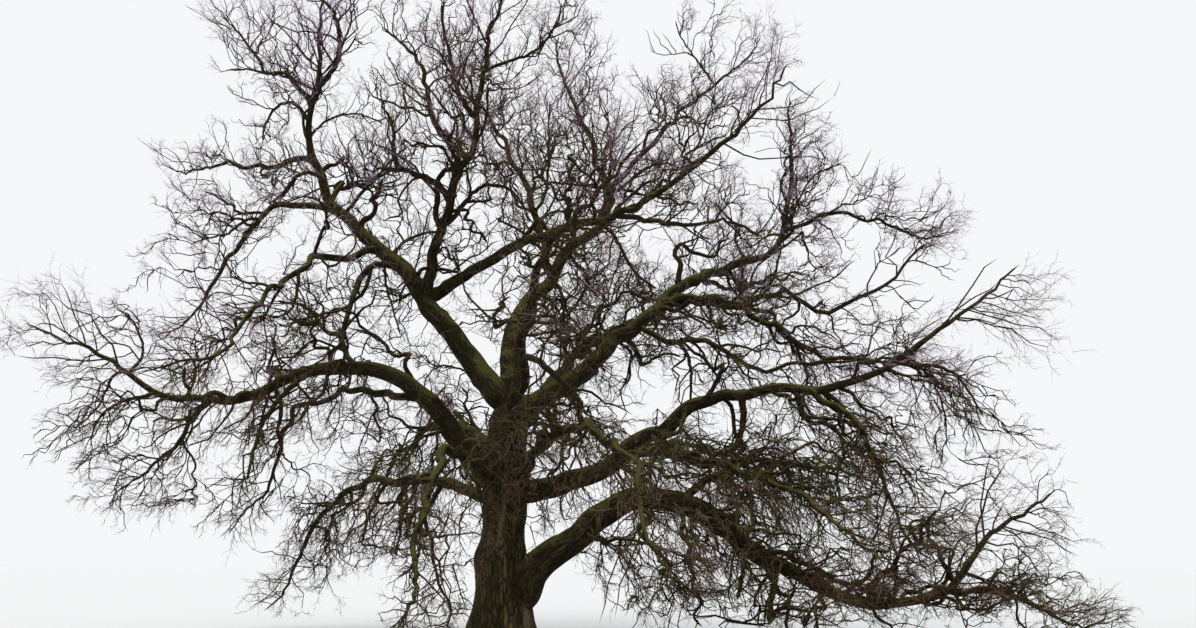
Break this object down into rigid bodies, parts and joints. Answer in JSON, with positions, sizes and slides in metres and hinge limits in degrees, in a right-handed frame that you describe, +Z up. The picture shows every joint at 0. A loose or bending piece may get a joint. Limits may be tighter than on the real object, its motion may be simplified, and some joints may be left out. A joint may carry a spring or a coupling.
{
  "type": "bare oak tree",
  "caption": "Leafless open-grown oak: a short stout trunk, wide crooked boughs that sweep low on the right, and fine twigs all round the crown.",
  "frame": {"origin": "middle of the flat cut under the trunk, at ground level", "axes": "+Z up, +X to the right in the front view, +Y away from the viewer"},
  "size_m": [20.9288, 18.674, 15.3703],
  "materials": {
    "bark": "deeply ridged grey-brown bark with olive moss on its upper sides",
    "twigs": "fine matt purple-grey and brown twigs, with no leaves",
    "lichen": "matt grey-green strands that hang from the boughs and twigs"
  },
  "bodies": {
    "root": {"trunk": "bark", "leader": "bark", "middle_bough": "bark", "cross_bough": "bark", "west_upper": "bark", "west_mid": "bark", "west_high": "bark", "crown_left": "bark", "leader_drop": "bark", "left_limb": "bark", "left_drop": "bark", "left_inner": "bark", "low_left": "bark", "front_drop": "bark", "centre_bough": "bark", "centre_right": "bark", "centre_left": "bark", "right_bough": "bark", "right_shoulder": "bark", "right_arm": "bark", "east_limb": "bark", "east_drop": "bark", "east_under": "bark", "low_limb": "bark", "low_limb_tip": "bark", "low_limb_up": "bark", "north_bough": "bark", "south_bough": "bark", "north_low": "bark", "south_low": "bark", "twigs_leader": "twigs", "twigs_middle_bough": "twigs", "twigs_cross_bough": "twigs", "twigs_west_upper": "twigs", "twigs_west_mid": "twigs", "twigs_west_high": "twigs", "twigs_crown_left": "twigs", "twigs_leader_drop": "twigs", "twigs_left_limb": "twigs", "twigs_left_drop": "twigs", "twigs_left_inner": "twigs", "twigs_low_left": "twigs", "twigs_front_drop": "twigs", "twigs_centre_bough": "twigs", "twigs_centre_right": "twigs", "twigs_centre_left": "twigs", "twigs_right_bough": "twigs", "twigs_right_shoulder": "twigs", "twigs_right_arm": "twigs", "twigs_east_limb": "twigs", "twigs_east_drop": "twigs", "twigs_east_under": "twigs", "twigs_low_limb": "twigs", "twigs_low_limb_tip": "twigs", "twigs_low_limb_up": "twigs", "twigs_north_bough": "twigs", "twigs_south_bough": "twigs", "twigs_north_low": "twigs", "twigs_south_low": "twigs"}
  },
  "joints": []
}
